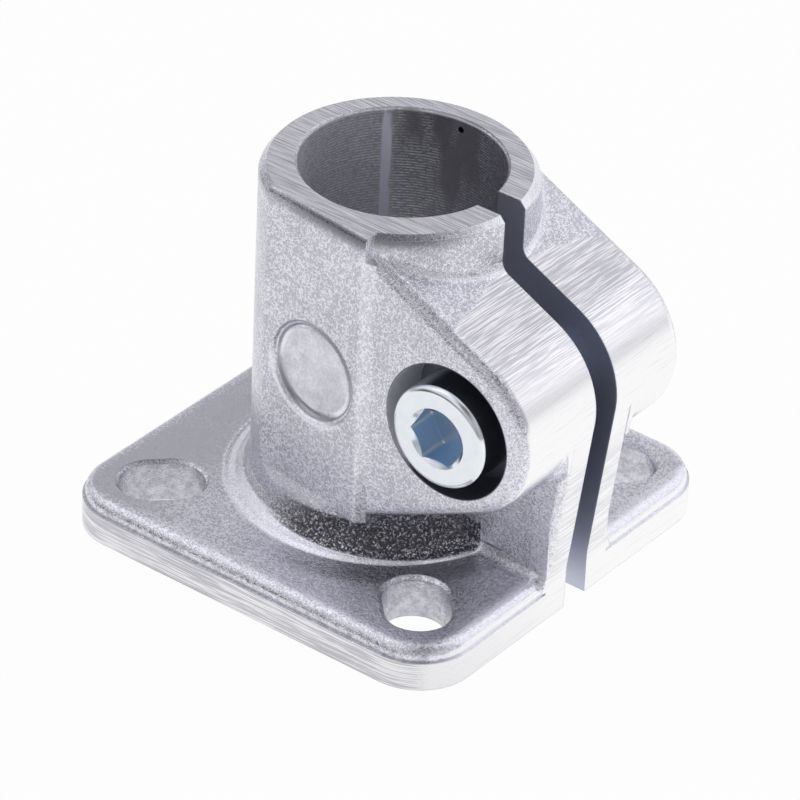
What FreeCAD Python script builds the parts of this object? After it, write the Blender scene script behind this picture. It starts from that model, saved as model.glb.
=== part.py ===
import FreeCAD, Part
import math
import os

Vec = FreeCAD.Vector

# Millimetres. Origin: middle of the plate's underside, on the axis of the bore. Z is up,
# X points to the slit side and Y is the axis of the clamping screw, with its head at -Y.

# Base plate
PLATE_SIDE = 69.0
PLATE_THICKNESS = 6.9
PLATE_CORNER_R = 9.0
GROUND_RIM = 4.6            # height of the ground edge of the plate
RIM_STEP = 0.35             # the cast top sits in from the ground edge by this much
PLATE_EDGE_R = 1.9          # rounding of the cast top edge

# Four bolt slots on the diagonals of the plate
SLOT_WIDTH = 9.6
SLOT_LENGTH = 12.8
SLOT_FROM_CORNER = 15.4     # from the sharp corner of the square to the middle of a slot
SLOT_EDGE_R = 0.55

# The cast outside sits a little towards the screw's head from the machined bore
CAST_OFFSET_Y = -0.45

# Sleeve round the tube
BORE_D = 30.0
SLEEVE_WALL = 5.2
SLEEVE_HEIGHT = 60.0
RING_WALL = 4.0             # wall left flat on the machined top ring
RING_SHIFT_X = 0.3          # the ring's outline is not quite centred on the sleeve
RING_SHIFT_Y = -0.45
RING_ROUND = 4.0            # height over which the ring rounds into the sleeve
RING_ROUND_OUT = 1.4
RING_TAPER = 5.5            # height of the slight taper under it
RING_TAPER_OUT = 0.5
BORE_CHAMFER = 0.4
FLARE_SPREAD = 3.6          # how far the foot of the sleeve spreads over the plate
FLARE_RISE = 4.6
FLARE_STEPS = 4
RING_STEPS = 3

# Flat panel on the front of the sleeve, and a plain flat on its back
PANEL_LEFT_X = -9.9
PANEL_RIGHT_X = 9.3
PANEL_PROUD = 1.1           # how far its right edge stands past the face of the lug
PANEL_STEP = 1.3            # width of the slope from there down to the lug
BACK_SET_IN = 0.9           # how deep the flat is cut into the sleeve
PANEL_BOTTOM_Z = 12.4
PANEL_ROUND = 1.0
PANEL_RUN_OUT = 1.2         # height of the slope where the flat runs out into the sleeve

# Lug and clamping screw
LUG_SET_IN = 1.4            # the sides of the lug sit in from the widest part of the sleeve
SCREW_FROM_BORE = 9.0       # from the wall of the bore to the axis of the screw
SCREW_Z = 34.0
NOSE_R = 13.7
NOSE_RISE = 0.4             # the nose is this much higher than the screw
LUG_TOP_SLOPE = 26.0
LUG_LOW_SLOPE = 25.5
LUG_EDGE_R = 2.0
COLLAR_FILLET_R = 2.0       # between the top of the lug and the sleeve
SLIT_WIDTH = 5.0

# Web that joins the lug to the plate
WEB_HALF_THICKNESS = 7.4
WEB_EDGE_R = 1.4
WEB_FOOT_R = 1.8
WEB_TOP_R = 1.5             # between the web and the underside of the lug
WEB_MEETS_NOSE = 3.0        # degrees below the point where the web's plane would be tangent

# Round medallion on the panel
MEDALLION_D = 15.6
MEDALLION_DEPTH = 0.7
MEDALLION_Z = 33.5

# Screw, M10, and its nut
THREAD_D = 10.0
SCREW_LENGTH = 30.0
HEAD_D = 16.0
HEAD_HEIGHT = 10.0
HEAD_EDGE_R = 1.1
HEAD_EDGE_STEPS = 3
KEY_SIZE = 8.0
KEY_DEPTH = 5.0
KEY_CHAMFER = 0.5
NUT_SIZE = 17.0
NUT_HEIGHT = 8.0
NUT_CHAMFER_SLOPE = 30.0
HEAD_POCKET_D = 21.0
NUT_POCKET_DEPTH = 8.0
SCREW_END_PROUD = 0.05      # past the face of the lug, where the nut ends too
SCREW_CLEARANCE = 1.0       # on the hole's diameter
NUT_CLEARANCE = 0.3         # across the flats of the nut's pocket
THREAD_GAP = 0.1            # on the diameter, between the screw and the nut

EXTRA = 2.0                 # how far a cutting tool passes the surface that it opens

BORE_R = BORE_D / 2
SLEEVE_R = BORE_R + SLEEVE_WALL
RING_R = BORE_R + RING_WALL
HALF_SIDE = PLATE_SIDE / 2
INSIDE_WALL_X = SLEEVE_R - SLEEVE_WALL / 2
SLOT_RADIUS = HALF_SIDE * math.sqrt(2) - SLOT_FROM_CORNER
BACK_FLAT = SLEEVE_R - BACK_SET_IN
LUG_HALF_WIDTH = SLEEVE_R - LUG_SET_IN
SCREW_X = BORE_R + SCREW_FROM_BORE
HEAD_SEAT_Y = LUG_HALF_WIDTH + CAST_OFFSET_Y + SCREW_END_PROUD - SCREW_LENGTH
NUT_SEAT_Y = LUG_HALF_WIDTH + CAST_OFFSET_Y - NUT_POCKET_DEPTH


def closed_face(*edges):
    return Part.Face(Part.Wire(list(edges)))


def polygon_face(points):
    return Part.Face(Part.makePolygon(points + [points[0]]))


def line(a, b):
    return Part.makeLine(a, b)


def arc(a, middle, b):
    return Part.Arc(a, middle, b).toShape()


def chain(a, middle, b, steps):
    points = arc(a, middle, b).discretize(steps + 1)
    return [line(points[k], points[k + 1]) for k in range(steps)]


def mirrored(shape):
    return shape.mirror(Vec(0, 0, 0), Vec(0, 1, 0))


def edge_points(edge):
    first, last = edge.FirstParameter, edge.LastParameter
    return [edge.valueAt(first + (last - first) * share) for share in (0.05, 0.5, 0.95)]


def edges_where(shape, test):
    return [e for e in shape.Edges if e.Length > 0.01 and all(test(p) for p in edge_points(e))]


def rounded_square(side, corner_r, bottom, height):
    box = Part.makeBox(side, side, height, Vec(-side / 2, -side / 2, bottom))
    upright = [e for e in box.Edges if abs(e.tangentAt(e.FirstParameter).z) > 0.99]
    return box.makeFillet(corner_r, upright)


def plate():
    rim = rounded_square(PLATE_SIDE, PLATE_CORNER_R, 0, GROUND_RIM)
    top = rounded_square(PLATE_SIDE - 2 * RIM_STEP, PLATE_CORNER_R - RIM_STEP, 0, PLATE_THICKNESS)
    upper = [e for e in top.Edges if e.BoundBox.ZMin > PLATE_THICKNESS - 0.01]
    return rim.fuse(top.makeFillet(PLATE_EDGE_R, upper)).removeSplitter()


def slot_tool(width, length, bottom, top):
    half = (length - width) / 2
    r = width / 2
    a, b = Vec(-half, -r, bottom), Vec(half, -r, bottom)
    c, d = Vec(half, r, bottom), Vec(-half, r, bottom)
    face = closed_face(line(a, b), arc(b, Vec(half + r, 0, bottom), c),
                       line(c, d), arc(d, Vec(-half - r, 0, bottom), a))
    return face.extrude(Vec(0, 0, top - bottom))


def slots():
    tools = []
    through = slot_tool(SLOT_WIDTH, SLOT_LENGTH, -EXTRA, PLATE_THICKNESS + EXTRA)
    grow = 2 * SLOT_EDGE_R
    mouth = slot_tool(SLOT_WIDTH + grow, SLOT_LENGTH + grow, PLATE_THICKNESS - SLOT_EDGE_R,
                      PLATE_THICKNESS + EXTRA)
    low_edges = [e for e in mouth.Edges if e.BoundBox.ZMax < PLATE_THICKNESS]
    mouth = mouth.makeChamfer(SLOT_EDGE_R, low_edges)
    for quarter in range(4):
        tool = through.fuse(mouth)
        tool.translate(Vec(SLOT_RADIUS, 0, 0))
        tool.rotate(Vec(0, 0, 0), Vec(0, 0, 1), 45 + 90 * quarter)
        tools.append(tool)
    return tools


def turned_solid(face, turns_at):
    turned = face.revolve(Vec(0, 0, 0), Vec(0, 0, 1), 360)
    turned.rotate(Vec(0, 0, 0), Vec(0, 0, 1), 180)
    turned.translate(turns_at)
    return turned


def sleeve():
    flare_top = PLATE_THICKNESS + FLARE_RISE
    flare_r = SLEEVE_R + FLARE_SPREAD
    foot = GROUND_RIM / 2
    p = [Vec(0, 0, foot), Vec(flare_r, 0, foot), Vec(flare_r, 0, PLATE_THICKNESS),
         Vec(SLEEVE_R, 0, flare_top), Vec(SLEEVE_R, 0, SLEEVE_HEIGHT), Vec(0, 0, SLEEVE_HEIGHT)]
    bend = math.sin(math.radians(45))
    flare_mid = Vec(flare_r - FLARE_SPREAD * bend, 0, flare_top - FLARE_RISE * bend)
    profile = closed_face(line(p[0], p[1]), line(p[1], p[2]), *chain(p[2], flare_mid, p[3], FLARE_STEPS),
                          line(p[3], p[4]), line(p[4], p[5]), line(p[5], p[0]))
    return turned_solid(profile, Vec(0, 0, 0))


def ring_tool():
    top = SLEEVE_HEIGHT
    bend = math.sin(math.radians(45))
    start = Vec(RING_R, 0, top)
    middle = Vec(RING_R + RING_ROUND_OUT * bend, 0, top - RING_ROUND * (1 - bend))
    under = Vec(RING_R + RING_ROUND_OUT, 0, top - RING_ROUND)
    low = under + Vec(RING_TAPER_OUT, 0, -RING_TAPER)
    wide = 2 * SLEEVE_R
    profile = closed_face(*chain(start, middle, under, RING_STEPS), line(under, low),
                          line(low, Vec(wide, 0, low.z)),
                          line(Vec(wide, 0, low.z), Vec(wide, 0, top + EXTRA)),
                          line(Vec(wide, 0, top + EXTRA), Vec(RING_R, 0, top + EXTRA)),
                          line(Vec(RING_R, 0, top + EXTRA), start))
    return turned_solid(profile, Vec(RING_SHIFT_X, RING_SHIFT_Y, 0))


def lug_top_z(x):
    foot = nose_point(LUG_TOP_SLOPE)
    return foot.z + (foot.x - x) * math.tan(math.radians(LUG_TOP_SLOPE))


def above_lug_top(from_x, sunk, half_width):
    far = 3 * SLEEVE_R
    high = 2 * SLEEVE_HEIGHT
    face = polygon_face([Vec(from_x, -half_width, lug_top_z(from_x) - sunk),
                         Vec(far, -half_width, lug_top_z(far) - sunk),
                         Vec(far, -half_width, high), Vec(from_x, -half_width, high)])
    return face.extrude(Vec(0, 2 * half_width, 0))


def collar_cove():
    post = Part.makeCylinder(SLEEVE_R, 2 * SLEEVE_HEIGHT)
    post.rotate(Vec(0, 0, 0), Vec(0, 0, 1), 180)
    half_width = 2 * SLEEVE_R
    ramp = Part.makeBox(half_width, 2 * half_width, SLEEVE_HEIGHT, Vec(SLEEVE_R / 4, -half_width, 0))
    ramp = ramp.cut(above_lug_top(0, 0, 2 * half_width))
    joined = post.fuse(ramp).removeSplitter()

    def on_foot(p):
        return abs(math.hypot(p.x, p.y) - SLEEVE_R) < 0.01 and abs(p.z - lug_top_z(p.x)) < 0.01

    joined = joined.makeFillet(COLLAR_FILLET_R, edges_where(joined, on_foot))
    width = LUG_HALF_WIDTH - LUG_EDGE_R
    keep = Part.makeBox(SLEEVE_R, 2 * width, SLEEVE_HEIGHT, Vec(PANEL_RIGHT_X, -width, 0))
    above = above_lug_top(0, COLLAR_FILLET_R / 2, half_width)
    return joined.common(keep).common(above).cut(Part.makeCylinder(BORE_R, SLEEVE_HEIGHT))


def front_line():
    left = Vec(PANEL_LEFT_X, -math.sqrt(SLEEVE_R ** 2 - PANEL_LEFT_X ** 2), 0)
    right = Vec(PANEL_RIGHT_X, -LUG_HALF_WIDTH - PANEL_PROUD, 0)
    return left, right


def back_line():
    return Vec(-PANEL_RIGHT_X, -BACK_FLAT, 0), Vec(PANEL_RIGHT_X, -BACK_FLAT, 0)


def outward_of(left, right):
    along = (right - left).normalize()
    return Vec(along.y, -along.x, 0)


def front_panel():
    left, right = front_line()
    lift = Vec(0, 0, PANEL_BOTTOM_Z)
    step = Vec(right.x + PANEL_STEP, -LUG_HALF_WIDTH, 0)
    inside = -LUG_HALF_WIDTH + LUG_EDGE_R
    plan = polygon_face([Vec(left.x, -BORE_R, 0) + lift, left + lift, right + lift, step + lift,
                         Vec(step.x, inside, 0) + lift, Vec(right.x, inside, 0) + lift,
                         Vec(right.x, -BORE_R, 0) + lift])
    block = plan.extrude(Vec(0, 0, SLEEVE_HEIGHT - PANEL_BOTTOM_Z))

    def at_corner(p):
        return math.hypot(p.x - right.x, p.y - right.y) < 0.01

    block = block.makeFillet(PANEL_ROUND, edges_where(block, at_corner))
    return block.cut(above_lug_top(right.x, LUG_EDGE_R / 4, PLATE_SIDE))


def flat_cut(left, right):
    outward = outward_of(left, right)
    along = (right - left).normalize()
    bottom = PANEL_BOTTOM_Z
    start = left - along * SLEEVE_R
    far = outward * SLEEVE_R
    side = polygon_face([start + Vec(0, 0, bottom + PANEL_RUN_OUT),
                         start + outward * PANEL_RUN_OUT + Vec(0, 0, bottom),
                         start + far + Vec(0, 0, bottom),
                         start + far + Vec(0, 0, SLEEVE_HEIGHT + EXTRA),
                         start + Vec(0, 0, SLEEVE_HEIGHT + EXTRA)])
    return side.extrude(along * (4 * SLEEVE_R))


def top_round(left, right):
    outward = outward_of(left, right)
    along = (right - left).normalize()
    r = PANEL_ROUND
    start = left - along * SLEEVE_R
    centre = start - outward * r + Vec(0, 0, SLEEVE_HEIGHT - r)
    bend = math.sin(math.radians(45))
    inner = centre + Vec(0, 0, r)
    outer = centre + outward * r
    middle = centre + outward * (r * bend) + Vec(0, 0, r * bend)
    above = inner + Vec(0, 0, EXTRA)
    beyond = outer + outward * EXTRA
    corner = beyond + Vec(0, 0, r + EXTRA)
    face = closed_face(arc(inner, middle, outer), line(outer, beyond), line(beyond, corner),
                       line(corner, above), line(above, inner))
    return face.extrude(along * (4 * SLEEVE_R))


def medallion():
    left, right = front_line()
    outward = outward_of(left, right)
    middle = left + (right - left) * (-left.x / (right.x - left.x))
    face_point = middle + Vec(0, 0, MEDALLION_Z)
    floor_point = face_point - outward * MEDALLION_DEPTH
    disc = Part.makeCylinder(MEDALLION_D / 2, MEDALLION_DEPTH + EXTRA, floor_point, outward)
    floor_edge = [e for e in disc.Edges if e.BoundBox.Center.distanceToPoint(floor_point) < 0.01]
    disc = disc.makeChamfer(MEDALLION_DEPTH * 0.9, floor_edge)
    mouth = Part.makeCone(MEDALLION_D / 2, MEDALLION_D / 2 + EXTRA, EXTRA,
                          face_point - outward * (MEDALLION_DEPTH / 2), outward)
    return disc.fuse(mouth)


def nose_point(angle_from_top):
    a = math.radians(angle_from_top)
    return Vec(SCREW_X + NOSE_R * math.sin(a), 0, SCREW_Z + NOSE_RISE + NOSE_R * math.cos(a))


def lug_profile():
    top_touch = nose_point(LUG_TOP_SLOPE)
    low_touch = nose_point(180 - LUG_LOW_SLOPE)
    inner_x = PANEL_RIGHT_X - PANEL_ROUND
    up = (top_touch.x - inner_x) * math.tan(math.radians(LUG_TOP_SLOPE))
    down = (low_touch.x - inner_x) * math.tan(math.radians(LUG_LOW_SLOPE))
    top_inner = Vec(inner_x, 0, top_touch.z + up)
    low_inner = Vec(inner_x, 0, low_touch.z - down)
    return closed_face(line(top_inner, top_touch), arc(top_touch, nose_point(90), low_touch),
                       line(low_touch, low_inner), line(low_inner, top_inner))


def lug():
    profile = lug_profile()
    profile.translate(Vec(0, -LUG_HALF_WIDTH, 0))
    block = profile.extrude(Vec(0, 2 * LUG_HALF_WIDTH, 0))
    inner_x = PANEL_RIGHT_X - PANEL_ROUND

    def on_outline(p):
        return abs(abs(p.y) - LUG_HALF_WIDTH) < 0.01 and p.x > inner_x + 0.01

    return block.makeFillet(LUG_EDGE_R, edges_where(block, on_outline))


def web_outer_line():
    start = Vec(HALF_SIDE, 0, PLATE_THICKNESS)
    centre = Vec(SCREW_X, 0, SCREW_Z + NOSE_RISE)
    reach = centre - start
    lean = math.asin(NOSE_R / reach.Length) - math.atan2(-reach.x, reach.z)
    angle = 90 + math.degrees(lean) + WEB_MEETS_NOSE
    return start, nose_point(angle), angle


def web():
    start, touch, angle = web_outer_line()
    centre = Vec(SCREW_X, 0, SCREW_Z + NOSE_RISE)
    inner_x = INSIDE_WALL_X
    foot = GROUND_RIM / 2
    face = closed_face(line(Vec(inner_x, 0, foot), Vec(HALF_SIDE, 0, foot)),
                       line(Vec(HALF_SIDE, 0, foot), start), line(start, touch),
                       line(touch, centre), line(centre, Vec(inner_x, 0, centre.z)),
                       line(Vec(inner_x, 0, centre.z), Vec(inner_x, 0, foot)))
    face.translate(Vec(0, -WEB_HALF_THICKNESS, 0))
    block = face.extrude(Vec(0, 2 * WEB_HALF_THICKNESS, 0))

    def on_outer_edge(p):
        flat = Vec(p.x, 0, p.z)
        return flat.distanceToLine(start, touch - start) < 0.01 and abs(p.y) > WEB_HALF_THICKNESS - 0.01

    return block.makeFillet(WEB_EDGE_R, edges_where(block, on_outer_edge))


def web_foot():
    r = WEB_FOOT_R
    side = WEB_HALF_THICKNESS
    top = PLATE_THICKNESS
    bend = math.sin(math.radians(45))
    bend_x = HALF_SIDE - RIM_STEP - PLATE_EDGE_R
    low = Vec(bend_x, side + r, top - r / 2)
    toe = Vec(bend_x, side + r, top)
    middle = Vec(bend_x, side + r - r * bend, top + r - r * bend)
    heel = Vec(bend_x, side, top + r)
    inner_heel = Vec(bend_x, side - r / 2, top + r)
    inner_low = Vec(bend_x, side - r / 2, top - r / 2)
    face = closed_face(line(low, toe), arc(toe, middle, heel), line(heel, inner_heel),
                       line(inner_heel, inner_low), line(inner_low, low))
    straight = face.extrude(Vec(INSIDE_WALL_X - bend_x, 0, 0))
    over_edge = face.revolve(Vec(bend_x, 0, top - PLATE_EDGE_R), Vec(0, 1, 0), 90)
    inside = Part.makeBox(HALF_SIDE, PLATE_SIDE, SLEEVE_HEIGHT)
    return straight.fuse(over_edge).common(inside)


def web_top():
    r = WEB_TOP_R
    side = WEB_HALF_THICKNESS
    bend = math.sin(math.radians(45))
    low_angle = 180 - LUG_LOW_SLOPE
    centre = Vec(SCREW_X, 0, SCREW_Z + NOSE_RISE)
    outward = (nose_point(low_angle) - centre).normalize()

    def spot(out, y):
        return centre + outward * (NOSE_R + out) + Vec(0, y, 0)

    toe = spot(0, side + r)
    heel = spot(r, side)
    middle = spot(r - r * bend, side + r - r * bend)
    face = closed_face(arc(toe, middle, heel), line(heel, spot(r, side - r / 2)),
                       line(spot(r, side - r / 2), spot(-r / 2, side - r / 2)),
                       line(spot(-r / 2, side - r / 2), spot(-r / 2, side + r)),
                       line(spot(-r / 2, side + r), toe))
    along = Vec(outward.z, 0, -outward.x)
    reach = (nose_point(low_angle).x - INSIDE_WALL_X) / -along.x
    start, touch, touch_angle = web_outer_line()
    round_nose = face.revolve(centre, Vec(0, -1, 0), low_angle - touch_angle + WEB_MEETS_NOSE / 2)
    up = (touch - start).normalize()
    above = touch + up * NOSE_R
    inside = polygon_face([start, above, Vec(0, 0, above.z), Vec(0, 0, start.z)])
    return face.extrude(along * reach).fuse(round_nose).common(inside.extrude(Vec(0, PLATE_SIDE, 0)))


def slit_tool():
    return Part.makeBox(PLATE_SIDE, SLIT_WIDTH, SLEEVE_HEIGHT + 2 * EXTRA,
                        Vec(0, -SLIT_WIDTH / 2, -EXTRA))


def bore_tool():
    top = SLEEVE_HEIGHT
    tool = Part.makeCylinder(BORE_R, top + 2 * EXTRA, Vec(0, 0, -EXTRA))
    wide = BORE_R + BORE_CHAMFER + EXTRA
    upper = Part.makeCone(BORE_R, wide, wide - BORE_R, Vec(0, 0, top - BORE_CHAMFER))
    return [tool, upper]


def hexagon(across_flats, y_from, y_to):
    corner = across_flats / math.sqrt(3)
    points = []
    for k in range(6):
        a = math.radians(60 * k)
        points.append(Vec(SCREW_X + corner * math.cos(a), y_from, SCREW_Z + corner * math.sin(a)))
    return polygon_face(points).extrude(Vec(0, y_to - y_from, 0))


def along_screw(radius, y_from, y_to):
    return Part.makeCylinder(radius, y_to - y_from, Vec(SCREW_X, y_from, SCREW_Z), Vec(0, 1, 0))


def screw_tools():
    outside = LUG_HALF_WIDTH + 2 * EXTRA
    return [along_screw(HEAD_POCKET_D / 2, -outside, HEAD_SEAT_Y),
            along_screw((THREAD_D + SCREW_CLEARANCE) / 2, HEAD_SEAT_Y - EXTRA, outside),
            hexagon(NUT_SIZE + NUT_CLEARANCE, NUT_SEAT_Y, outside)]


def clamp_body():
    front = front_line()
    back = back_line()
    column = sleeve().fuse(collar_cove()).cut([ring_tool(), flat_cut(*front)])
    column = column.cut([mirrored(flat_cut(*back)), mirrored(top_round(*back))])
    column = column.fuse(front_panel())
    column = column.cut([top_round(*front), medallion()])
    body = column.fuse(lug())
    body.translate(Vec(0, CAST_OFFSET_Y, 0))
    braced = web().fuse([web_foot(), mirrored(web_foot()), web_top(), mirrored(web_top())])
    body = body.fuse([plate(), braced])
    body = body.cut(slots() + [slit_tool()] + bore_tool() + screw_tools())
    below = Part.makeBox(4 * PLATE_SIDE, 4 * PLATE_SIDE, PLATE_SIDE,
                         Vec(-2 * PLATE_SIDE, -2 * PLATE_SIDE, -PLATE_SIDE))
    return body.cut(below)


def clamp_screw():
    top = HEAD_SEAT_Y - HEAD_HEIGHT
    r = HEAD_D / 2
    shank_r = (THREAD_D - THREAD_GAP) / 2
    end = HEAD_SEAT_Y + SCREW_LENGTH
    tip = THREAD_D / 12
    c = HEAD_EDGE_R
    bend = math.sin(math.radians(45))
    x = SCREW_X
    z = SCREW_Z
    p = [Vec(x, top, z), Vec(x + r - c, top, z), Vec(x + r, top + c, z), Vec(x + r, HEAD_SEAT_Y, z),
         Vec(x + shank_r, HEAD_SEAT_Y, z), Vec(x + shank_r, end - tip, z),
         Vec(x + shank_r - tip, end, z), Vec(x, end, z)]
    mid = Vec(x + r - c + c * bend, top + c - c * bend, z)
    profile = closed_face(line(p[0], p[1]), *chain(p[1], mid, p[2], HEAD_EDGE_STEPS), line(p[2], p[3]),
                          line(p[3], p[4]), line(p[4], p[5]), line(p[5], p[6]),
                          line(p[6], p[7]), line(p[7], p[0]))
    turned = profile.revolve(Vec(x, 0, z), Vec(0, 1, 0), 360)
    key = hexagon(KEY_SIZE, top - EXTRA, top + KEY_DEPTH)
    corner = KEY_SIZE / math.sqrt(3)
    mouth_r = corner + KEY_CHAMFER * 0.2
    mouth = Part.makeCone(mouth_r + EXTRA, mouth_r - KEY_CHAMFER, EXTRA + KEY_CHAMFER,
                          Vec(x, top - EXTRA, z), Vec(0, 1, 0))
    return turned.cut([key, mouth])


def clamp_nut():
    end = NUT_SEAT_Y + NUT_HEIGHT
    block = hexagon(NUT_SIZE, NUT_SEAT_Y, end)
    corner = NUT_SIZE / math.sqrt(3)
    slope = math.tan(math.radians(NUT_CHAMFER_SLOPE))
    flat_r = NUT_SIZE / 2
    height = (corner + EXTRA - flat_r) * slope
    cone = Part.makeCone(flat_r, corner + EXTRA, height, Vec(SCREW_X, end, SCREW_Z), Vec(0, -1, 0))
    rest = along_screw(corner + EXTRA, NUT_SEAT_Y, end - height)
    envelope = cone.fuse(rest)
    hole = along_screw(THREAD_D / 2, NUT_SEAT_Y - EXTRA, end + EXTRA)
    return block.common(envelope).cut(hole)


def save(name, shape):
    solids = shape.Solids
    if len(solids) != 1 or not shape.isValid():
        raise ValueError(name + " is not one valid solid")
    solids[0].exportStep(os.path.join("parts", name + ".step"))


os.makedirs("parts", exist_ok=True)
save("clamp_body", clamp_body())
save("clamp_screw", clamp_screw())
save("clamp_nut", clamp_nut())
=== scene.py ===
import math
import bpy
from mathutils import Matrix, Vector


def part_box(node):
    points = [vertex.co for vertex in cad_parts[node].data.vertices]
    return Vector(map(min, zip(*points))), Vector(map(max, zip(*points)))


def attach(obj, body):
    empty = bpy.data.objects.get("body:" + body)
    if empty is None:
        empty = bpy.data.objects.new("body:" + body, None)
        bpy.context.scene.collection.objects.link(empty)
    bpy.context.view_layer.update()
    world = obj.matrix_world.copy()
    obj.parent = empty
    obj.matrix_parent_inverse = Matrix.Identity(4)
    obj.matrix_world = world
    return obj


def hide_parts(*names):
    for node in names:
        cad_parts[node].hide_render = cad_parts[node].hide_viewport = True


bl_info = {
    "name": "Tube Clamp Base Flange",
    "version": (1, 0, 0),
    "blender": (4, 5, 0),
    "location": "View3D > Sidebar > Clamp Flange",
    "description": "Finishes and studio for a cast tube clamp flange with its screw and nut",
    "category": "Object",
}

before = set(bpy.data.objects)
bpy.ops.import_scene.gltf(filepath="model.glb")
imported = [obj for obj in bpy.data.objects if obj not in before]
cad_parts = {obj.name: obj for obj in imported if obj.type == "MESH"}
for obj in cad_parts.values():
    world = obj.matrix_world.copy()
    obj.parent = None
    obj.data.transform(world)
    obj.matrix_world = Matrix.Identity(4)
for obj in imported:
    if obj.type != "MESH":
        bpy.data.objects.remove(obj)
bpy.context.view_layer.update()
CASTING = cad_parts["clamp_body"]
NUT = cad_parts["clamp_nut"]
MM = 0.001

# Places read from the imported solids, in millimetres
SCREW_LOW, SCREW_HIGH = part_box("clamp_screw")
SLEEVE_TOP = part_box("clamp_body")[1].z / MM
HEAD_TOP_Y = SCREW_LOW.y / MM
SCREW_X = (SCREW_LOW.x + SCREW_HIGH.x) / 2 / MM
SCREW_Z = (SCREW_LOW.z + SCREW_HIGH.z) / 2 / MM
SCREW_END = SCREW_HIGH.y / MM
HEAD_R = (SCREW_HIGH.z - SCREW_LOW.z) / 2 / MM

# Sizes of the casting, in millimetres
BORE_R = 15.0
HALF_SLIT = 2.5
POCKET_R = 10.5
PLATE_TOP = 6.9
RIM_TOP = 4.6
WEB_FRONT = 33.0
CAST_SHIFT = 0.45  # how far the cast outside sits off the bore, towards the screw's head

# Sizes of the screw, in millimetres
HEAD_HEIGHT = 10.0
HEAD_SEAT = HEAD_TOP_Y + HEAD_HEIGHT
THREAD_R = 4.95
THREAD_DEPTH = 0.9
SOCKET_CHAMFER = 0.12

# Its thread's profile: depth gained over half a pitch, and what the flat crest takes off it
FLANK_RISE = 1.45
CREST_FLAT = 0.2

# How finely its mesh is divided, and the angle from which its edges stay sharp
THREAD_STEPS = 12
SCREW_COLUMNS = 96
EDGE_STEPS = 6
SHARP_ANGLE = math.radians(32)

# Soft patches of the light tent: azimuth and elevation in degrees, and strength
TENT_PATCHES = (
    (-150, 10, 0.78), (-90, 10, 0.42), (150, 10, 0.75), (20, 12, 0.40), (85, 15, 0.40),
    (-90, 45, 0.45), (-30, 45, 0.68), (30, 45, 0.12), (90, 45, 0.10), (150, 45, 0.78),
    (-120, 76, 0.55),
)
PATCH_EDGE = 42  # degrees from the middle of a patch to where its light ends
PATCH_CORE = 8   # and to where it is full


class Term:
    """One number of a material at each point of a surface, so that shader maths reads as Python."""

    def __init__(self, finish, socket):
        self.finish = finish
        self.socket = socket

    def maths(self, operation, *inputs):
        node = self.finish.node("ShaderNodeMath", {"operation": operation}, *inputs)
        return Term(self.finish, node.outputs[0])

    def __add__(self, other):
        return self.maths("ADD", self, other)

    def __radd__(self, other):
        return self.maths("ADD", other, self)

    def __sub__(self, other):
        return self.maths("SUBTRACT", self, other)

    def __rsub__(self, other):
        return self.maths("SUBTRACT", other, self)

    def __mul__(self, other):
        return self.maths("MULTIPLY", self, other)

    def __rmul__(self, other):
        return self.maths("MULTIPLY", other, self)

    def __pow__(self, power):
        return self.maths("POWER", self, power)

    def __neg__(self):
        return self.maths("MULTIPLY", self, -1.0)

    def __abs__(self):
        return self.maths("ABSOLUTE", self)

    def sine(self):
        return self.maths("SINE", self)

    def above(self, low, high):
        """0 below low, 1 above high and a smooth rise between them."""
        settings = {"interpolation_type": "SMOOTHSTEP"}
        node = self.finish.node("ShaderNodeMapRange", settings, self, low, high, 0.0, 1.0)
        return Term(self.finish, node.outputs[0])

    def below(self, low, high):
        return 1 - self.above(low, high)


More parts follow.
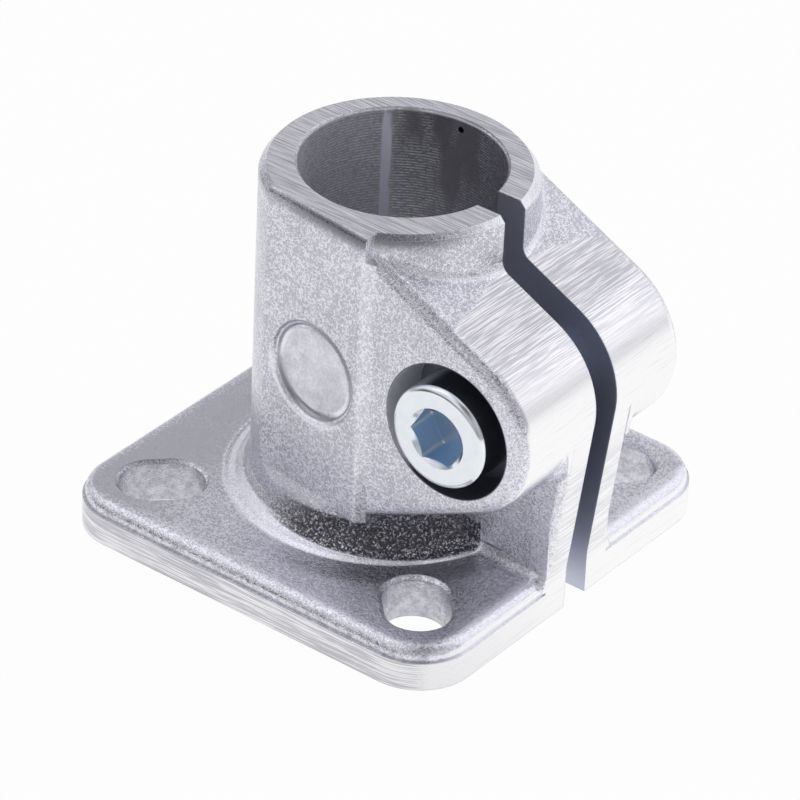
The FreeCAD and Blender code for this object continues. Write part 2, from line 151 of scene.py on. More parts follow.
class Finish:
    """The node tree of a material or of the world, built node by node."""

    def __init__(self, owner, output="ShaderNodeOutputMaterial"):
        owner.use_nodes = True
        self.owner = owner
        self.tree = owner.node_tree
        self.tree.nodes.clear()
        self.output = self.tree.nodes.new(output)

    def node(self, kind, settings=None, *inputs, **named):
        node = self.tree.nodes.new(kind)
        for key, value in (settings or {}).items():
            setattr(node, key, value)
        for socket, value in zip(node.inputs, inputs):
            self.join(socket, value)
        for key, value in named.items():
            self.join(node.inputs[key.replace("_", " ")], value)
        return node

    def join(self, socket, value):
        if isinstance(value, Term):
            value = value.socket
        if isinstance(value, bpy.types.NodeSocket):
            self.tree.links.new(value, socket)
        elif value is not None:
            socket.default_value = value

    def place(self):
        """The point on the surface in millimetres: the whole vector and its three parts."""
        point = self.node("ShaderNodeTexCoord").outputs["Object"]
        scaled = self.node("ShaderNodeVectorMath", {"operation": "SCALE"}, point)
        scaled.inputs["Scale"].default_value = 1 / MM
        return scaled.outputs[0], *self.parts(scaled.outputs[0])

    def parts(self, vector):
        node = self.node("ShaderNodeSeparateXYZ", None, vector)
        return tuple(Term(self, socket) for socket in node.outputs)

    def facing(self):
        """The three parts of the surface normal on the part at rest."""
        return self.parts(self.node("ShaderNodeTexCoord").outputs["Normal"])

    def stretched(self, point, stretch, turn=(0.0, 0.0, 0.0)):
        settings = {"vector_type": "POINT"}
        node = self.node("ShaderNodeMapping", settings, point, None, turn, stretch)
        return node.outputs[0]

    def noise(self, point, scale, detail, roughness):
        node = self.node("ShaderNodeTexNoise", {"noise_dimensions": "3D"}, point, Scale=scale,
                         Detail=detail, Roughness=roughness, Distortion=0.0)
        return Term(self, node.outputs[0])

    def blend(self, share, low, high):
        """A colour between two colours."""
        node = self.node("ShaderNodeMix", {"data_type": "RGBA"})
        self.join(node.inputs[0], share)
        self.join(node.inputs[6], low)
        self.join(node.inputs[7], high)
        return node.outputs[2]

    def between(self, share, low, high):
        """A number between two numbers."""
        return low + share * (high - low)

    def bump(self, height, distance_mm, normal):
        node = self.node("ShaderNodeBump", None, Height=height, Normal=normal,
                         Distance=distance_mm * MM, Strength=1.0)
        return node.outputs[0]

    def rounded_edges(self, radius_mm):
        node = self.node("ShaderNodeBevel", {"samples": 3}, Radius=radius_mm * MM)
        return node.outputs[0]

    def metal(self, colour, roughness, normal):
        shader = self.node("ShaderNodeBsdfPrincipled", None, Metallic=1.0)
        self.join(shader.inputs["Base Color"], colour)
        self.join(shader.inputs["Roughness"], roughness)
        self.join(shader.inputs["Normal"], normal)
        self.join(self.output.inputs["Surface"], shader.outputs[0])


def grey(value, tint=0.0):
    return (value * (1 - tint), value * (1 - tint), value, 1.0)


class Surface:
    """Where each point of a piece lies, in millimetres, and which way it faces."""

    def __init__(self, finish):
        self.point, self.x, self.y, self.z = finish.place()
        self.nx, self.ny, self.nz = finish.facing()


def distance_from(*offsets):
    total = offsets[0] * offsets[0]
    for offset in offsets[1:]:
        total = total + offset * offset
    return total ** 0.5


def larger(*masks):
    result = masks[0]
    for mask in masks[1:]:
        result = result.maths("MAXIMUM", result, mask)
    return result


def band(value, rise, fall):
    """1 between two soft edges, each given by where it starts and where it ends."""
    return value.above(*rise) * value.below(*fall)


def ridges(noise, half_width):
    """Thin lines where a noise passes its middle value."""
    return abs(noise - 0.5).below(0.0, half_width)


def sawn_slit(at):
    in_slit = abs(at.y).below(HALF_SLIT + 0.05, HALF_SLIT + 0.15) * abs(at.ny).above(0.8, 0.9)
    return in_slit * at.x.above(14.9, 15.2)


def screw_pocket(at):
    """The drilled pockets of the screw's head and of the nut, below the lug's outer faces."""
    from_screw = distance_from(at.x - SCREW_X, at.z - SCREW_Z)
    in_lug = at.y.below(SCREW_END - 0.35, SCREW_END - 0.2) * abs(at.y).above(2.6, 2.8)
    return from_screw.below(POCKET_R + 0.06, POCKET_R + 0.2) * in_lug * at.x.above(12.0, 13.0)


def ground_faces(at, rim, patchy):
    """The lug's ground top and nose, the web's front and the plate's sides."""
    edge_line = at.x - abs(at.y + CAST_SHIFT) * 0.23 + (patchy - 0.5) * 2.5
    lug = edge_line.above(19.2, 19.9) * abs(at.ny).below(0.25, 0.45) * at.z.above(9.0, 10.0)
    lug = lug * (at.nx * at.nx + at.nz * at.nz).above(0.6, 0.8) * at.nx.above(0.2, 0.35)
    web = larger(at.nx.above(0.85, 0.93), at.ny.above(0.1, 0.3)) * at.x.above(WEB_FRONT, WEB_FRONT + 0.6)
    return larger(lug, rim, web * at.z.below(31.0, 34.0))


def medallion_parts(at, settings):
    """The plain disc on the panel: its floor, its wall, which takes a painted highlight at its upper right
    and painted shade at its lower left, the lip at its lower left, which takes a painted highlight, and its
    hollow.
    """
    up = at.z - settings.medallion_z
    reach = distance_from(at.x, up)
    on_panel = at.y.below(-16.0, -15.0)
    low_left = (-0.45 * at.x - 0.89 * up).above(2.0, 5.5)
    floor = reach.below(7.2, 7.6) * on_panel
    # Painted highlight on the wall at the upper right, painted shade on it at the lower left, and a painted
    # highlight on the lip.
    wall = band(reach, (6.2, 6.8), (7.5, 7.9)) * on_panel * (0.7 - low_left * 1.6)
    lip = band(reach, (7.6, 7.9), (8.5, 9.1)) * on_panel * low_left
    hollow = reach.below(6.2, 8.2) * on_panel
    return floor, wall, lip, hollow


def foot_parts(at, from_sleeve):
    """The sleeve's foot: its cove at the front right, which takes a painted dark reflection, the line of
    painted highlight along it and its edge.
    """
    front_right = (at.x * 0.574 - at.y * 0.819).above(12.0, 19.0)
    under_lug = at.x.above(8.0, 12.0) * at.z.below(17.0, 18.0) * from_sleeve.below(20.6, 21.0)
    cove = larger(at.z.below(11.4, 12.2), under_lug) * at.z.above(PLATE_TOP + 0.05, PLATE_TOP + 0.3)
    cove = cove * front_right * from_sleeve.above(19.8, 20.1)
    cove = cove * (from_sleeve - at.x * 0.075).below(21.7, 22.1)
    # Painted highlight: a light line round the foot of the sleeve, along the cove.
    line = band(from_sleeve, (21.0, 21.4), (24.1, 24.5)) * band(at.z, (6.8, 6.85), (9.5, 10.5))
    edge = band(from_sleeve, (23.0, 24.2), (25.0, 29.0)) * band(at.z, (6.0, 6.7), (8.5, 9.0))
    return cove, line, edge


class CastingPlaces:
    """Distances on the casting, and masks that are 1 on a place, 0 off it and soft at its edge."""

    def __init__(self, at, settings, patchy):
        upright = abs(at.nz).below(0.3, 0.5)
        self.plate_reach = larger(abs(at.x), abs(at.y))
        self.from_sleeve = distance_from(at.x, at.y + CAST_SHIFT)
        self.bore = distance_from(at.x, at.y).below(BORE_R + 0.2, BORE_R + 0.32)
        self.ring = at.z.above(SLEEVE_TOP - 0.12, SLEEVE_TOP - 0.04) * at.nz.above(0.9, 0.96)
        self.slit = sawn_slit(at)
        self.pocket = screw_pocket(at) * (1 - self.bore)
        self.rim = at.z.below(RIM_TOP, RIM_TOP + 0.15) * upright * self.plate_reach.above(30.3, 30.8)
        self.slot_wall = at.z.below(6.3, 6.6) * upright * (1 - self.rim)
        uncut = (1 - self.slit) * (1 - self.bore) * (1 - self.pocket)
        self.belt = ground_faces(at, self.rim, patchy) * uncut
        self.long_side = abs(at.ny).above(0.6, 0.9) * self.rim
        self.medallion, self.medallion_wall, self.medallion_lip, self.dish = medallion_parts(at, settings)
        self.cove, self.foot_line, self.foot_edge = foot_parts(at, self.from_sleeve)


def cast_grain(finish, point):
    """Share of light in the blasted skin, and its height: a soft bright net over fine grain."""
    coarse = finish.noise(point, 1.25, 2.0, 0.55)
    fine = finish.noise(point, 4.2, 1.0, 0.5)
    net = larger(ridges(coarse, 0.07), ridges(finish.noise(point, 1.9, 1.0, 0.5), 0.05) * 0.8)
    light = net * 0.55 + fine * 0.45
    height = net * 0.4 + coarse * 0.6 + fine * 0.2
    return light, height


def painted_light(at, on, sparkle):
    """Painted highlights added to the cast skin where its edges and slopes catch the light, with the
    medallion's painted highlights and shade and the foot's painted highlight.
    """
    # Painted highlights along the panel's edge, on the upward band round the top of the sleeve, on the
    # sleeve's left side and on the plate's slit-side face, and painted glints along the plate's edge.
    panel_edge_highlight = band(at.x, (8.3, 9.0), (10.2, 10.9)) * at.y.below(-18.5, -18.0) * at.z.above(16.0, 24.0)
    collar_highlight = band(on.from_sleeve, (17.6, 18.2), (20.4, 21.6)) * at.z.above(40.0, 44.0)
    collar_highlight = collar_highlight * at.x.above(5.0, 9.0) * at.nz.above(0.25, 0.5)
    left_side_highlight = at.x.below(-16.0, -12.5) * at.z.above(9.0, 11.0) * at.ny.below(-0.5, 0.3)
    plate_edge_glints = on.plate_reach.above(31.3, 32.0) * at.z.above(5.0, 5.3) * (1 - on.belt)
    slit_side_highlight = at.x.above(31.5, 32.5) * at.z.below(6.8, 7.0)
    added = on.medallion_wall + on.medallion_lip * 0.8 + panel_edge_highlight * 0.35 + collar_highlight * 0.8
    added = added + left_side_highlight * 0.3 + plate_edge_glints * sparkle.above(0.42, 0.56) * 0.7
    return added + on.foot_line * 0.7 + slit_side_highlight


def painted_shade(at, on):
    """Painted shade on the cast skin: on the panel's run-out, the plate's left and the slots' walls."""
    run_out_shade = band(at.z, (12.2, 12.5), (13.5, 13.9)) * at.y.below(-17.0, -16.5) * at.nz.above(0.25, 0.45)
    plate_left_shade = at.x.below(-26.0, -12.0) * band(at.z, (6.7, 6.8), (7.0, 7.2))
    return run_out_shade * 0.6 + plate_left_shade * 0.8 + on.slot_wall * 0.3


def cast_skin(finish, at, on, settings, patchy):
    """The blasted skin: its colour, with painted highlights, painted shade under the top ring and a painted
    dark reflection in the cove, its share of light and the height of its grain.
    """
    light, height = cast_grain(finish, at.point)
    light = finish.between(on.slot_wall, light, finish.noise(at.point, 0.7, 3.0, 0.6))
    clouds = finish.noise(at.point, 0.12, 3.0, 0.55)
    light = light.above(0.18, 0.70) * 0.8 + clouds.above(0.35, 0.7) * 0.2
    light = finish.between(on.medallion * 0.7, light, patchy.above(0.3, 0.7) * 0.6 + 0.15)
    sparkle = finish.noise(at.point, 2.6, 3.0, 0.75)
    # Painted highlights are added to the grain's share of light, and painted shade is taken from it.
    light = light + painted_light(at, on, sparkle) - painted_shade(at, on)

    # Painted shade on the panel just under the top ring, weaker towards the left.
    painted_shade_under_ring = at.z.above(SLEEVE_TOP - 3.0, SLEEVE_TOP - 1.0) * at.ny.below(-0.75, -0.25)
    painted_shade_under_ring = painted_shade_under_ring * (1 - on.ring) * (1 - on.bore) * (0.35 + at.x.above(-14.0, 3.0) * 0.57)
    # Painted dark reflection in the cove at the sleeve's foot, broken up by the sparkle grain.
    cove_dark_reflection = on.cove * 0.97 * sparkle.below(0.54, 0.58)
    tone = finish.blend(light, grey(settings.cast_dark, 0.085), grey(settings.cast_light, 0.075))
    tone = finish.blend(painted_shade_under_ring, tone, grey(settings.shade, 0.10))
    tone = finish.blend(cove_dark_reflection, tone, grey(settings.shade * 0.5, 0.05))
    return tone, light, height * (1 - on.medallion * 0.7)


def ground_metal(finish, at, on, settings):
    """Colour of the ground faces, with painted shade on the nose's upper part, the plate's long sides and
    the web's front, and the streaks that the belt leaves on them.
    """
    across_lug = finish.noise(finish.stretched(at.point, (4.6, 0.12, 4.6)), 1.0, 2.0, 0.7)
    along_rim = finish.noise(finish.stretched(at.point, (0.10, 0.10, 4.2)), 1.0, 2.0, 0.7)
    streaks = finish.between(on.long_side, across_lug, along_rim)
    web_front = at.x.above(WEB_FRONT, WEB_FRONT + 0.6) * band(at.z, (5.0, 8.0), (24.0, 30.0))
    # Painted shade: darker, with fewer light streaks, on the nose's upper part, the plate's long sides and
    # the web's front.
    shaded_ground = larger(at.z.above(38.5, 47.0), on.long_side, web_front * 0.6)
    polish = finish.between(shaded_ground, streaks.above(0.24, 0.46), streaks.above(0.44, 0.60))
    shaded_ground_tone = finish.blend(shaded_ground, grey(settings.belt_dark, 0.02), grey(settings.belt_dark * 0.74, 0.06))
    return finish.blend(polish, shaded_ground_tone, grey(settings.belt_light, 0.01)), streaks


def milling_marks(finish, point, settings):
    """Crossing strokes of the cutter on the top ring."""
    strokes = []
    for turn, length, width, share in ((0, 0.09, 3.4, 0.55), (62, 0.16, 3.0, 0.45)):
        angle = (0.0, 0.0, math.radians(settings.milling_angle + turn))
        marks = finish.noise(finish.stretched(point, (length, width, 1.0), angle), 1.0, 2.0, 0.65)
        strokes.append(marks.above(0.38, 0.64) * share)
    return strokes[0] + strokes[1]


def bore_marks(finish, at, settings):
    """Turned grooves that come and go round the bore, with a paler upright stripe that is a painted
    reflection, painted light on the bore's left side, and one small hole painted black as shade.
    """
    wobble = finish.noise(at.point, 0.9, 2.0, 0.5)
    grooves = (at.z * (2 * math.pi / settings.groove_pitch) + wobble * 3.0).sine() * 0.5 + 0.5
    patches = finish.noise(finish.stretched(at.point, (0.16, 0.16, 0.05)), 1.0, 2.0, 0.6)
    broken = finish.noise(finish.stretched(at.point, (1.6, 1.6, 5.0)), 1.0, 2.0, 0.7)
    at_left = at.x.below(-12.0, -6.0) * 0.8
    cut = grooves * broken.above(0.35, 0.6) * larger(patches.above(0.42, 0.56), at_left)
    far_side = (at.y * 0.694 - at.x * 0.72).above(10.0, 12.0)
    fading = finish.noise(finish.stretched(at.point, (0.4, 0.4, 0.10)), 1.0, 2.0, 0.6)
    reflected_streak = abs(at.x * 0.694 + at.y * 0.72).below(0.4, 1.1) * far_side * fading.above(0.3, 0.6)
    pore_shade = distance_from(at.x + 0.9, at.y - BORE_R, at.z - 58.2).below(0.42, 0.55)
    # Painted light on the bore's left side; the upright stripe is a painted reflection.
    light = larger(cut * 0.8, reflected_streak) + broken * 0.15 + at.x.below(-14.0, -7.0) * 0.35
    return light, cut, reflected_streak, pore_shade


def cast_aluminium(settings):
    finish = Finish(bpy.data.materials.new("cast_aluminium"))
    at = Surface(finish)
    patchy = finish.noise(at.point, 0.35, 3.0, 0.6)
    on = CastingPlaces(at, settings, patchy)
    tone, light, skin_height = cast_skin(finish, at, on, settings, patchy)
    ground, streaks = ground_metal(finish, at, on, settings)
    milled = milling_marks(finish, at.point, settings)
    bore_light, bore_cut, reflected_streak, pore_shade = bore_marks(finish, at, settings)

    milled_tone = finish.blend(milled, grey(settings.ring_dark, 0.06), grey(settings.ring_light, 0.05))
    # The turned bore's colour carries its painted light on the left and its painted reflection as an upright
    # stripe.
    turned_tone = finish.blend(bore_light, grey(settings.bore_dark, 0.05), grey(settings.bore_light, 0.06))
    # Painted shade on the saw cut's walls: darker in the middle of their height, paler towards the top and
    # at the bottom.
    shaded_sawn_tone = finish.blend(at.z.above(28.0, 42.0), settings.slit_shade_colour, settings.slit_colour)
    shaded_sawn_tone = finish.blend(at.z.below(5.0, 11.0), shaded_sawn_tone, settings.slit_colour)
    # The screw pocket in painted shade, with a painted highlight on its inner wall that faces the slit.
    pocket_wall_highlight = at.nx.above(0.45, 0.75) * abs(at.ny).below(0.2, 0.4)
    pocket_shade_and_highlight = finish.blend(pocket_wall_highlight, settings.pocket_shade_colour, grey(settings.cast_light, 0.05))
    # The small hole in the bore is painted black as shade.
    painted = ((on.belt, ground), (on.ring, milled_tone), (on.bore, turned_tone),
               (on.slit, shaded_sawn_tone), (on.pocket, pocket_shade_and_highlight), (pore_shade, grey(0.01)))
    for mask, colour in painted:
        tone = finish.blend(mask, tone, colour)

    smooth = larger(on.belt, on.ring)
    roughness = finish.between(light, 0.28, 0.20)
    roughness = finish.between(smooth, roughness, 0.18 + streaks * 0.12)
    bore_roughness = 0.32 + bore_light * 0.2 + reflected_streak * 0.45 + at.x.below(-14.0, -8.0) * 0.25
    roughness = finish.between(on.bore, roughness, bore_roughness)
    sawn_roughness = 0.45 + on.pocket * pocket_wall_highlight * 0.35
    roughness = finish.between(larger(on.slit, on.pocket), roughness, sawn_roughness)

    edges = finish.rounded_edges(settings.edge_round)
    shaped = finish.bump(-on.foot_edge * 0.5 - on.dish * 1.4, 0.5, edges)
    cut_height = finish.between(on.bore, finish.between(on.ring, streaks * 0.4, milled), bore_cut)
    height = finish.between(larger(smooth, on.bore), skin_height, cut_height * 0.3)
    height = height * (1 - on.slit * 0.8) * (1 - on.pocket * 0.5) * (1 + on.cove * 3.0)
    finish.metal(tone, roughness, finish.bump(height, settings.cast_depth, shaped))
    return finish.owner


def zinc_plating(settings, name, key_reach):
    """Plating of the screw and the nut, with painted light and shade in the hexagon socket; key_reach is 1
    where the piece has a hexagon socket.
    """
    finish = Finish(bpy.data.materials.new(name))
    at = Surface(finish)
    up = at.z - SCREW_Z
    radius = distance_from(at.x - SCREW_X, up)
    below_top = band(at.y, (HEAD_TOP_Y + 0.35, HEAD_TOP_Y + 0.5), (0.0, 1.0))
    in_key = radius.below(4.75, 4.9) * below_top * key_reach
    soft = finish.noise(at.point, 0.5, 3.0, 0.55)
    fine = finish.noise(at.point, 3.5, 2.0, 0.6)

    # Painted light and shade in the socket: walls darker and bluer than the plating outside, a painted
    # highlight on the lower part of the right wall, a floor in painted shade below and paler above, and
    # painted highlights along the corners.
    right_wall_highlight = at.nx.below(-0.5, 0.0) * up.below(-1.5, 2.5)
    socket = finish.blend(right_wall_highlight, settings.socket_shade_colour, grey(0.9))
    shaded = finish.blend(up.above(-0.5, 3.5), settings.key_floor_shade_colour, grey(0.8))
    socket = finish.blend(abs(at.ny).above(0.8, 0.95), socket, shaded)
    socket = finish.blend(in_key * radius.above(4.40, 4.50), socket, grey(1.0))

    tone = finish.blend(soft.above(0.3, 0.7), settings.zinc_dark, settings.zinc_light)
    tone = finish.blend(in_key, tone, socket)
    roughness = finish.between(in_key, 0.12 + soft * 0.08, 0.34)
    normal = finish.bump(soft * 0.6 + fine * 0.4, 0.012, finish.rounded_edges(0.15))
    finish.metal(tone, roughness, normal)
    return finish.owner


def hexagon_radius(turn, across_flats):
    """Distance from the middle of a hexagon to its outline in one direction."""
    side = math.radians(60)
    return across_flats / 2 / math.cos(turn % side - side / 2)


def thread_radius(turn, y, settings):
    """Radius of the screw's thread at one point: flat crests, flat roots and straight flanks."""
    phase = (y / settings.thread_pitch + turn / (2 * math.pi)) % 1.0
    depth = min(max(abs(2 * phase - 1) * FLANK_RISE - CREST_FLAT, 0.0), 1.0)
    return THREAD_R - THREAD_DEPTH * depth


def screw_rings(settings):
    """Rings of the cap screw from its tip to the bottom of its socket, each a list of radius and Y."""
    turns = [2 * math.pi * k / SCREW_COLUMNS for k in range(SCREW_COLUMNS)]
    rings = [[(THREAD_R - THREAD_DEPTH, SCREW_END)] * SCREW_COLUMNS]
    steps = int((SCREW_END - HEAD_SEAT - THREAD_DEPTH) / settings.thread_pitch * THREAD_STEPS)
    for k in range(steps + 1):
        y = SCREW_END - THREAD_DEPTH - k * settings.thread_pitch / THREAD_STEPS
        rings.append([(thread_radius(turn, y, settings), y) for turn in turns])
    rings.append([(THREAD_R, HEAD_SEAT)] * SCREW_COLUMNS)
    rings.append([(HEAD_R, HEAD_SEAT)] * SCREW_COLUMNS)
    r = settings.head_edge_r
    for k in range(EDGE_STEPS + 1):
        bend = math.radians(90 * k / EDGE_STEPS)
        ring = (HEAD_R - r + r * math.cos(bend), HEAD_TOP_Y + r - r * math.sin(bend))
        rings.append([ring] * SCREW_COLUMNS)
    mouth = hexagon_radius(0.0, settings.key_size) + SOCKET_CHAMFER
    rings.append([(mouth, HEAD_TOP_Y)] * SCREW_COLUMNS)
    hexagon = [hexagon_radius(turn, settings.key_size) for turn in turns]
    rings.append([(h, HEAD_TOP_Y + (mouth - h) * 0.8) for h in hexagon])
    rings.append([(h, HEAD_TOP_Y + settings.key_depth) for h in hexagon])
    return rings


def lathe(name, rings, columns):
    """A closed mesh through rings of points about the screw's axis, with a middle point at each end."""
    points = []
    for ring in rings:
        for k, (radius, y) in enumerate(ring):
            turn = 2 * math.pi * k / columns
            points.append((SCREW_X + radius * math.cos(turn), y, SCREW_Z + radius * math.sin(turn)))
    faces = []
    for i in range(len(rings) - 1):
        for k in range(columns):
            a = i * columns + k
            b = i * columns + (k + 1) % columns
            faces.append((a, b, b + columns, a + columns))
    for i, first in ((0, True), (len(rings) - 1, False)):
        middle = len(points)
        points.append((SCREW_X, rings[i][0][1], SCREW_Z))
        for k in range(columns):
            a = i * columns + k
            b = i * columns + (k + 1) % columns
            faces.append((middle, b, a) if first else (middle, a, b))
    mesh = bpy.data.meshes.new(name)
    mesh.from_pydata([tuple(c * MM for c in p) for p in points], [], faces)
    mesh.polygons.foreach_set("use_smooth", [True] * len(faces))
    mesh.set_sharp_from_angle(angle=SHARP_ANGLE)
    obj = bpy.data.objects.new(name, mesh)
    bpy.context.scene.collection.objects.link(obj)
    return obj


def make_screw(settings):
    screw = lathe("cap_screw", screw_rings(settings), SCREW_COLUMNS)
    give(screw, zinc_plating(settings, "zinc_screw", 1.0))
    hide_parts("clamp_screw")
    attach(screw, "root")


def give(obj, material):
    obj.data.materials.clear()
    obj.data.materials.append(material)


def way_to(azimuth, elevation):
    """Direction of length 1 from the part's middle; both angles are in radians."""
    level = math.cos(elevation)
    return Vector((math.sin(azimuth) * level, -math.cos(azimuth) * level, math.sin(elevation)))


def make_camera(settings):
    azimuth = settings.camera_azimuth
    roll = settings.camera_roll
    back = way_to(azimuth, settings.camera_elevation)
    level = Vector((math.cos(azimuth), math.sin(azimuth), 0.0))
    upright = back.cross(level)
    right = math.cos(roll) * level + math.sin(roll) * upright
    up = math.cos(roll) * upright - math.sin(roll) * level
    data = bpy.data.cameras.new("studio_camera")
    data.sensor_width = 36.0
    data.lens = settings.camera_lens
    data.clip_start = 0.01
    data.clip_end = 50.0
    obj = bpy.data.objects.new("studio_camera", data)
    bpy.context.scene.collection.objects.link(obj)
    target = Vector(settings.camera_target)
    place = target + back * settings.camera_distance
    turn = Matrix((right, up, back)).transposed().to_4x4()
    obj.matrix_world = Matrix.Translation(place) @ turn
    bpy.context.scene.camera = obj


def lobe(finish, direction, azimuth, elevation, edge, core):
    """1 within the core angle of a direction, 0 past the edge angle, all in degrees."""
    middle = way_to(math.radians(azimuth), math.radians(elevation))
    node = finish.node("ShaderNodeVectorMath", {"operation": "DOT_PRODUCT"}, direction, middle)
    nearness = Term(finish, node.outputs["Value"])
    return nearness.above(math.cos(math.radians(edge)), math.cos(math.radians(core)))


def floor_finish(settings):
    finish = Finish(bpy.data.materials.new("pale_floor"))
    path = finish.node("ShaderNodeLightPath")
    seen = Term(finish, path.outputs["Is Camera Ray"])
    mirrored = Term(finish, path.outputs["Is Glossy Ray"])
    point = finish.node("ShaderNodeTexCoord").outputs["Object"]
    way = finish.node("ShaderNodeVectorMath", {"operation": "NORMALIZE"}, point).outputs[0]
    mirror = settings.floor_mirror + lobe(finish, way, 125, 0, edge=80, core=8) * settings.floor_right
    paint = finish.node("ShaderNodeBsdfDiffuse", None, (0.82, 0.82, 0.83, 1.0))
    glow = finish.node("ShaderNodeEmission", None, (1.0, 1.0, 1.0, 1.0), 1.0)
    share = seen * settings.floor_whiteness + mirrored * mirror
    mix = finish.node("ShaderNodeMixShader", None, share, paint.outputs[0], glow.outputs[0])
    finish.join(finish.output.inputs["Surface"], mix.outputs[0])
    return finish.owner


def make_floor(settings):
    half = settings.floor_size / 2
    mesh = bpy.data.meshes.new("studio_floor")
    corners = [(-half, -half, 0), (half, -half, 0), (half, half, 0), (-half, half, 0)]
    mesh.from_pydata(corners, [], [(0, 1, 2, 3)])
    obj = bpy.data.objects.new("studio_floor", mesh)
    bpy.context.scene.collection.objects.link(obj)
    give(obj, floor_finish(settings))


def make_world(settings):
    """A light tent: soft patches of light round the part, and plain white for the camera."""
    world = bpy.data.worlds.new("studio_world")
    bpy.context.scene.world = world
    sky = Finish(world, "ShaderNodeOutputWorld")
    way = sky.node("ShaderNodeTexCoord").outputs["Generated"]
    light = 0.0
    for azimuth, elevation, strength in TENT_PATCHES:
        light = light + lobe(sky, way, azimuth, elevation, PATCH_EDGE, PATCH_CORE) * strength
    white = (1.0, 1.0, 1.0, 1.0)
    unlit = sky.node("ShaderNodeBackground", None, white, 0.0)
    lit = sky.node("ShaderNodeBackground", None, settings.tent_colour, settings.tent_strength)
    seen = sky.node("ShaderNodeBackground", None, white, 1.0)
    tent = sky.node("ShaderNodeMixShader", None, light, unlit.outputs[0], lit.outputs[0])
    path = sky.node("ShaderNodeLightPath")
    share = path.outputs["Is Camera Ray"]
    mix = sky.node("ShaderNodeMixShader", None, share, tent.outputs[0], seen.outputs[0])
    sky.join(sky.output.inputs["Surface"], mix.outputs[0])


def share_of(name, description, default):
    return bpy.props.FloatProperty(name=name, description=description, default=default, min=0.0, max=4.0)


def colour_of(name, description, default):
    return bpy.props.FloatVectorProperty(name=name, description=description, default=default, size=4,
                                         min=0.0, max=1.0, subtype="COLOR")


class CastingSettings(bpy.types.PropertyGroup):
    cast_dark: share_of("Cast, dark", "Reflectance of the dark grains of the blasted casting", 0.60)
    cast_light: share_of("Cast, light", "Reflectance of its light grains", 1.0)
    belt_dark: share_of("Ground, dark", "Reflectance of the dark streaks of the ground faces", 0.88)
    belt_light: share_of("Ground, light", "Reflectance of their light streaks", 1.0)
    ring_dark: share_of("Ring, dark", "Reflectance of the dark marks on the milled ring", 0.50)
    ring_light: share_of("Ring, light", "Reflectance of its light marks", 0.97)
    bore_dark: share_of("Bore, dark", "Reflectance of the turned bore's grooves", 0.40)
    bore_light: share_of("Bore, light", "Reflectance of the ridges between them", 1.0)
    # The saw cut's walls take painted shade: the first colour is the darker one, low in the cut but above
    # its bottom.
    slit_shade_colour: colour_of("Slit, low", "Colour of the lower saw-cut walls", (0.46, 0.48, 0.56, 1.0))
    slit_colour: colour_of("Slit", "Colour of the saw-cut walls", (0.60, 0.62, 0.72, 1.0))
    # The pocket round the screw is painted in shade with this colour.
    pocket_shade_colour: colour_of("Screw pocket", "Colour of the unlit pocket round the screw",
                             (0.22, 0.23, 0.26, 1.0))
    # Colour of the painted shade under the top ring and, halved, of the painted dark reflection in the cove.
    shade: share_of("Shaded coves", "Reflectance of the darker coves", 0.22)
    medallion_z: bpy.props.FloatProperty(name="Medallion height", default=33.5, min=0.0, max=100.0,
                                         description="Height of the medallion's middle in millimetres")
    cast_depth: share_of("Grain depth", "Depth of the blasted grain in millimetres", 0.055)
    edge_round: share_of("Edge rounding", "Radius of the light rounding of edges in millimetres", 0.3)
    groove_pitch: share_of("Groove pitch", "Distance between turned grooves in millimetres", 0.46)
    milling_angle: bpy.props.FloatProperty(name="Milling angle", default=-32.0, min=-180.0, max=180.0,
                                           description="Direction of the milling marks in degrees")


class FastenerSettings(bpy.types.PropertyGroup):
    zinc_dark: colour_of("Zinc, dark", "Duller places of the plating", (0.88, 0.93, 0.97, 1.0))
    zinc_light: colour_of("Zinc, light", "Brighter places of the plating", (0.95, 0.98, 1.0, 1.0))
    thread_pitch: share_of("Thread pitch", "Distance between the thread's crests in millimetres", 1.5)
    head_edge_r: share_of("Head edge", "Radius of the head's rounded edge in millimetres", 1.1)
    key_size: bpy.props.FloatProperty(name="Key size", default=8.0, min=1.0, max=20.0,
                                      description="Width of the hexagon socket in millimetres")
    key_depth: bpy.props.FloatProperty(name="Key depth", default=5.0, min=1.0, max=20.0,
                                       description="Depth of the hexagon socket in millimetres")
    # Colours of the socket's painted shade: its walls and its floor.
    socket_shade_colour: colour_of("Socket", "Colour of the hexagon socket's walls", (0.60, 0.80, 1.0, 1.0))
    key_floor_shade_colour: colour_of("Socket floor", "Colour of the socket's shaded floor",
                                (0.36, 0.44, 0.54, 1.0))


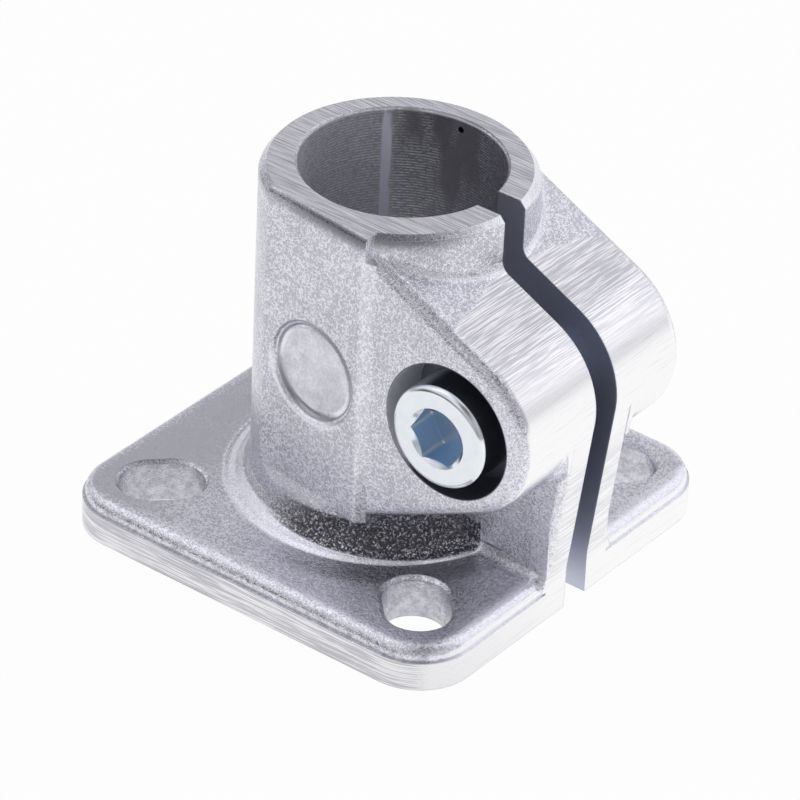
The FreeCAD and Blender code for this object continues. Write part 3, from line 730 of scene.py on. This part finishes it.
class StudioSettings(bpy.types.PropertyGroup):
    camera_azimuth: bpy.props.FloatProperty(name="Azimuth", default=math.radians(36.39), subtype="ANGLE",
                                            description="Camera's turn about the part")
    camera_elevation: bpy.props.FloatProperty(name="Elevation", default=math.radians(33.28), subtype="ANGLE",
                                              description="Camera's angle above the floor")
    camera_roll: bpy.props.FloatProperty(name="Roll", default=math.radians(2.76), subtype="ANGLE",
                                         description="Camera's turn about its own line of sight")
    camera_lens: bpy.props.FloatProperty(name="Lens", default=239.46, unit="CAMERA",
                                         description="Focal length")
    camera_distance: bpy.props.FloatProperty(name="Distance", default=0.7683, unit="LENGTH",
                                             description="From the aim point to the camera")
    camera_target: bpy.props.FloatVectorProperty(name="Aim point", default=(0.00521, -0.005, 0.02416),
                                                 subtype="TRANSLATION",
                                                 description="Point in the middle of the picture")
    floor_size: bpy.props.FloatProperty(name="Floor", default=6.0, unit="LENGTH",
                                        description="Side of the floor")
    floor_whiteness: share_of("Floor whiteness", "Share of plain white that the camera sees", 0.97)
    floor_mirror: share_of("Floor in reflections", "Share of plain white that metal reflects", 0.72)
    floor_right: share_of("Floor at the right", "Share of plain white added at the slit side", 0.25)
    tent_strength: share_of("Tent", "Strength of the light tent's patches", 1.06)
    tent_colour: colour_of("Tent colour", "Colour of the tent's light", (0.965, 0.96, 1.0, 1.0))


class CLAMP_OT_casting(bpy.types.Operator):
    """Gives the casting its blasted, ground, milled and turned surfaces"""
    bl_idname = "clamp.casting"
    bl_label = "Finish the Casting"

    def execute(self, context):
        give(CASTING, cast_aluminium(context.scene.clamp_casting))
        return {"FINISHED"}


class CLAMP_OT_fasteners(bpy.types.Operator):
    """Makes the threaded cap screw and gives it and the nut their zinc plating"""
    bl_idname = "clamp.fasteners"
    bl_label = "Make the Screw, Finish the Nut"

    def execute(self, context):
        settings = context.scene.clamp_fasteners
        make_screw(settings)
        give(NUT, zinc_plating(settings, "zinc_nut", 0.0))
        return {"FINISHED"}


class CLAMP_OT_studio(bpy.types.Operator):
    """Sets up the floor, the light tent and the camera"""
    bl_idname = "clamp.studio"
    bl_label = "Set Up the Studio"

    def execute(self, context):
        settings = context.scene.clamp_studio
        context.scene.view_settings.view_transform = "Standard"
        make_floor(settings)
        make_world(settings)
        make_camera(settings)
        return {"FINISHED"}


class CLAMP_PT_panel(bpy.types.Panel):
    bl_label = "Clamp Flange"
    bl_idname = "CLAMP_PT_panel"
    bl_space_type = "VIEW_3D"
    bl_region_type = "UI"
    bl_category = "Clamp Flange"

    def draw(self, context):
        for group, operator in PANEL_ROWS:
            settings = getattr(context.scene, group)
            for name in settings.__annotations__:
                self.layout.prop(settings, name)
            self.layout.operator(operator)


PANEL_ROWS = (("clamp_casting", "clamp.casting"), ("clamp_fasteners", "clamp.fasteners"),
              ("clamp_studio", "clamp.studio"))
SETTINGS = {"clamp_casting": CastingSettings, "clamp_fasteners": FastenerSettings,
            "clamp_studio": StudioSettings}
OPERATORS = (CLAMP_OT_casting, CLAMP_OT_fasteners, CLAMP_OT_studio)


def register():
    for name, group in SETTINGS.items():
        bpy.utils.register_class(group)
        setattr(bpy.types.Scene, name, bpy.props.PointerProperty(type=group))
    for item in OPERATORS + (CLAMP_PT_panel,):
        bpy.utils.register_class(item)


def unregister():
    for item in OPERATORS + (CLAMP_PT_panel,):
        bpy.utils.unregister_class(item)
    for name, group in SETTINGS.items():
        delattr(bpy.types.Scene, name)
        bpy.utils.unregister_class(group)


def main():
    register()
    bpy.ops.clamp.casting()
    bpy.ops.clamp.fasteners()
    bpy.ops.clamp.studio()


if __name__ == "__main__":
    main()
